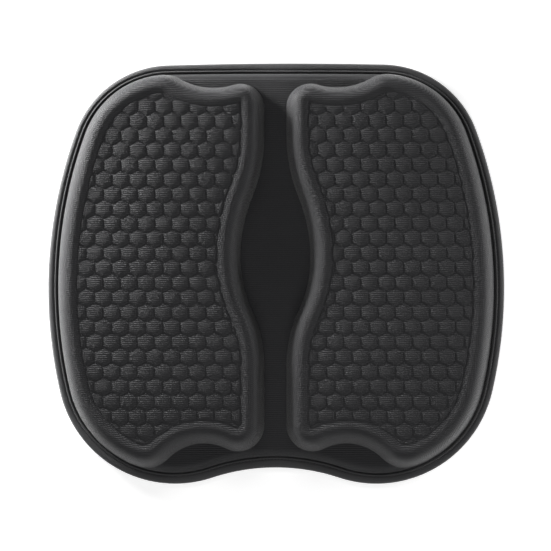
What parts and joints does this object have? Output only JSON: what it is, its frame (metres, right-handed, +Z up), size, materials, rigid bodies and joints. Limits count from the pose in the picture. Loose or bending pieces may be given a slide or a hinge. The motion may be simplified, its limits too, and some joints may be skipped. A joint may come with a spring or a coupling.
{
  "type": "seat cushion",
  "caption": "Flat seat cushion with two raised padded lobes, a relief channel that widens at the waist, a bound edge with a shallow notch, and a dotted non-slip underside.",
  "frame": {"origin": "middle of the cushion's bounding box, on the surface that it rests on", "axes": "+X across the two lobes, +Y towards the straight edge (the notched edge is at -Y), +Z up"},
  "size_m": [0.45, 0.4159, 0.045],
  "materials": {
    "knit_cloth": "matte charcoal knit with fine crosswise courses",
    "quilting_foam": "off-white soft open-cell foam",
    "memory_foam": "pale slow-recovery foam with a fine closed skin",
    "firm_foam": "grey firm foam slab",
    "non_slip_cloth": "matte black plain weave",
    "binding_tape": "charcoal woven tape with a slight sheen",
    "sewing_thread": "charcoal polyester thread",
    "silicone": "dark silicone, semi-matte"
  },
  "bodies": {
    "root": {"top_cover": "knit_cloth", "cover_foam": "quilting_foam", "right_lobe_core": "memory_foam", "left_lobe_core": "memory_foam", "base_pad": "firm_foam", "bottom_cover": "non_slip_cloth", "edge_binding": "binding_tape", "needle_thread": "sewing_thread", "bobbin_thread": "sewing_thread", "grip_dots_edge": "silicone", "grip_dots_field": "silicone"}
  },
  "joints": []
}
